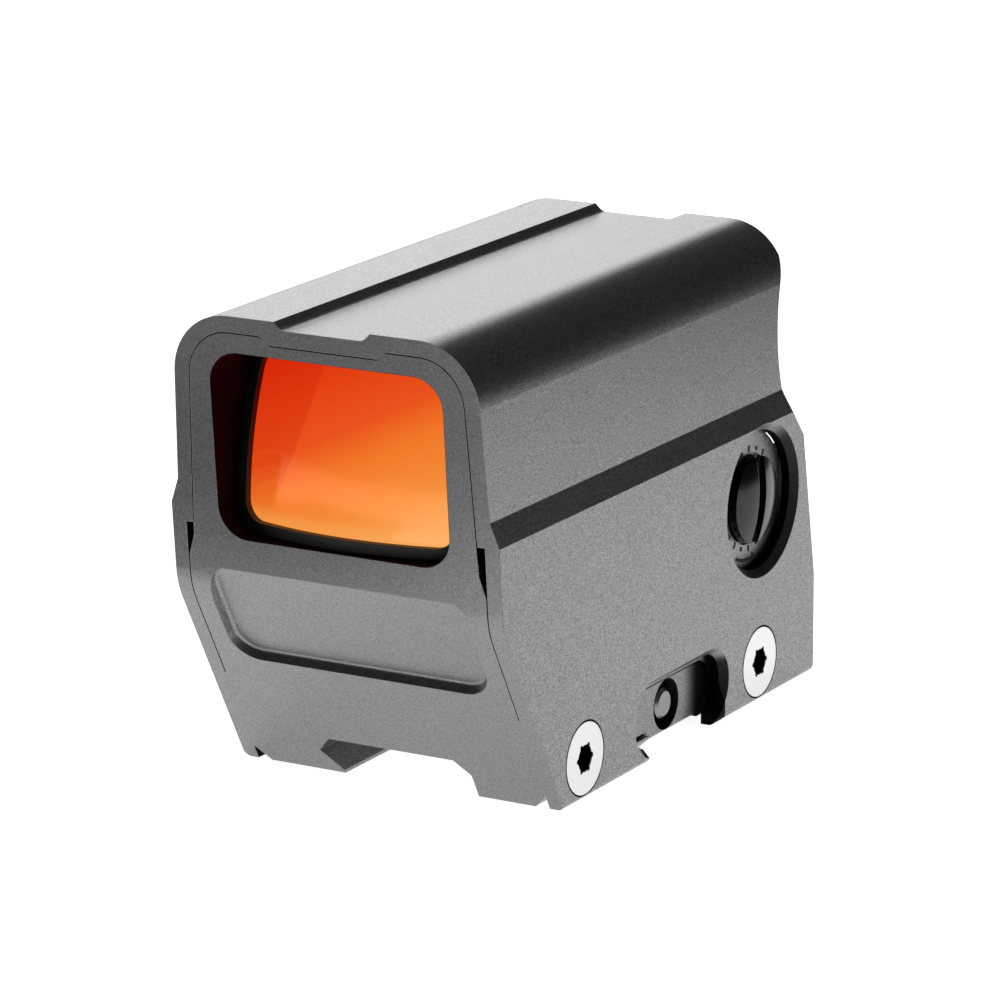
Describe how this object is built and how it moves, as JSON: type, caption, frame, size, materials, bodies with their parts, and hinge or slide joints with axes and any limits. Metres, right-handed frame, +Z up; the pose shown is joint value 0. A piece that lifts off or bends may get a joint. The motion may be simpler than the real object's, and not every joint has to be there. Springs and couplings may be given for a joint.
{
  "type": "red dot finder",
  "caption": "Enclosed red dot finder: metal hood over a one-piece housing with lens, windage and elevation dials, and a cross-slot rail clamp.",
  "frame": {"origin": "middle of the underside, on the plane of the feet", "axes": "+Z up, +Y from the front lens towards the eyepiece window, +X to the side with the windage dial"},
  "size_m": [0.046, 0.0846, 0.0612],
  "materials": {
    "hood_shell": "hard anodised, fine blasted, matt dark grey",
    "housing_alloy": "hard anodised, fine blasted, matt dark grey",
    "bright_screws": "bare stainless, fine turned",
    "lens_frame_black": "matt black",
    "coated_glass": "red mirror coating",
    "seal_rubber": "matt",
    "dark_alloy": "matt black anodised",
    "clear_glass": "anti-reflection coated",
    "black_screws": "black oxide",
    "dial_alloy": "anodised, satin",
    "spring_steel": "bright",
    "brass": "machined",
    "emitter_red": "clear red epoxy",
    "clamp_alloy": "hard anodised, satin dark grey",
    "bolt_steel": "satin",
    "cell_steel": "plated steel can",
    "board_green": "coated glass-fibre board",
    "switch_black": "moulded",
    "button_rubber": "moulded, matt"
  },
  "bodies": {
    "housing": {"hood": "hood_shell", "housing": "housing_alloy", "hood_screws": "bright_screws", "lens_frame": "lens_frame_black", "front_lens": "coated_glass", "lens_seal": "seal_rubber", "lens_retainer": "dark_alloy", "pane_gasket": "seal_rubber", "rear_pane": "clear_glass", "rear_bezel": "dark_alloy", "bezel_screws": "black_screws", "guide_posts": "spring_steel", "lift_springs": "spring_steel", "carriage_spring": "spring_steel", "click_balls": "spring_steel", "click_springs": "spring_steel", "clamp_washer": "bolt_steel", "clamp_spring": "spring_steel", "battery_cell": "cell_steel", "battery_contact": "spring_steel", "control_board": "board_green", "board_screws": "black_screws", "tact_switches": "switch_black", "keypad_membrane": "seal_rubber", "rear_cover": "dark_alloy", "cover_screws": "black_screws"},
    "windage_dial": {"windage_dial": "dial_alloy", "windage_oring": "seal_rubber", "windage_clip": "spring_steel"},
    "windage_plunger": {"windage_plunger": "brass"},
    "elevation_dial": {"elevation_dial": "dial_alloy", "elevation_oring": "seal_rubber", "elevation_clip": "spring_steel"},
    "elevation_wedge": {"elevation_wedge": "brass"},
    "elevation_stage": {"elevation_stage": "dark_alloy"},
    "emitter_carriage": {"emitter_carriage": "dark_alloy", "emitter_diode": "emitter_red"},
    "clamp_bolt": {"clamp_bolt": "bolt_steel"},
    "clamp_jaw": {"clamp_jaw": "clamp_alloy"},
    "button_up": {"button_up": "button_rubber"},
    "button_down": {"button_down": "button_rubber"},
    "battery_cap_seal": {"battery_cap_oring": "seal_rubber"},
    "battery_cap": {"battery_cap": "dial_alloy"}
  },
  "joints": [
    {"name": "windage_push", "type": "slide", "parent": "housing", "child": "windage_plunger", "axis": [1, 0, 0], "range_m": [-0.001, 0.001]},
    {"name": "windage_turn", "type": "hinge", "parent": "housing", "child": "windage_dial", "pos_m": [0.02031, 0.02746, 0.02675], "axis": [1, 0, 0], "range_deg": [-720.01, 720.01]},
    {"name": "wedge_slide", "type": "slide", "parent": "housing", "child": "elevation_wedge", "axis": [1, 0, 0], "range_m": [-0.002, 0.002]},
    {"name": "elevation_turn", "type": "hinge", "parent": "housing", "child": "elevation_dial", "pos_m": [-0.02031, 0.02746, 0.02675], "axis": [-1, 0, 0], "range_deg": [-1440.01, 1440.01]},
    {"name": "stage_lift", "type": "slide", "parent": "housing", "child": "elevation_stage", "axis": [0, 0, 1], "range_m": [-0.001, 0.001], "deforming": ["lift_springs"]},
    {"name": "carriage_slide", "type": "slide", "parent": "elevation_stage", "child": "emitter_carriage", "axis": [1, 0, 0], "range_m": [-0.001, 0.001], "deforming": ["carriage_spring"]},
    {"name": "clamp_jaw_slide", "type": "slide", "parent": "housing", "child": "clamp_jaw", "axis": [1, 0, 0], "range_m": [0, 0.0021], "deforming": ["clamp_spring"]},
    {"name": "clamp_bolt_turn", "type": "hinge", "parent": "housing", "child": "clamp_bolt", "pos_m": [-0.018, 0.00556, 0.005], "axis": [-1, 0, 0], "range_deg": [-0.01, 1080.01]},
    {"name": "button_up_press", "type": "slide", "parent": "housing", "child": "button_up", "axis": [0, -1, 0], "range_m": [0, 0.0008], "stiffness_N_per_m": 2500, "springref_m": -0.0004, "deforming": ["keypad_membrane"]},
    {"name": "button_down_press", "type": "slide", "parent": "housing", "child": "button_down", "axis": [0, -1, 0], "range_m": [0, 0.0008], "stiffness_N_per_m": 2500, "springref_m": -0.0004, "deforming": ["keypad_membrane"]},
    {"name": "battery_cap_rise", "type": "slide", "parent": "housing", "child": "battery_cap_seal", "axis": [-1, 0, 0], "range_m": [0, 0.0036]},
    {"name": "battery_cap_turn", "type": "hinge", "parent": "battery_cap_seal", "child": "battery_cap", "pos_m": [-0.0205, -0.01, 0.0204], "axis": [-1, 0, 0], "range_deg": [-0.01, 1080.01]}
  ],
  "couplings": [
    {"joint": "windage_turn", "follows": "windage_push", "rad_per_m": 12566},
    {"joint": "carriage_slide", "follows": "windage_push", "ratio": 1},
    {"joint": "elevation_turn", "follows": "wedge_slide", "rad_per_m": -12566},
    {"joint": "stage_lift", "follows": "wedge_slide", "ratio": -0.5},
    {"joint": "clamp_bolt_turn", "follows": "clamp_jaw_slide", "rad_per_m": 8976},
    {"joint": "battery_cap_turn", "follows": "battery_cap_rise", "rad_per_m": 5236}
  ]
}
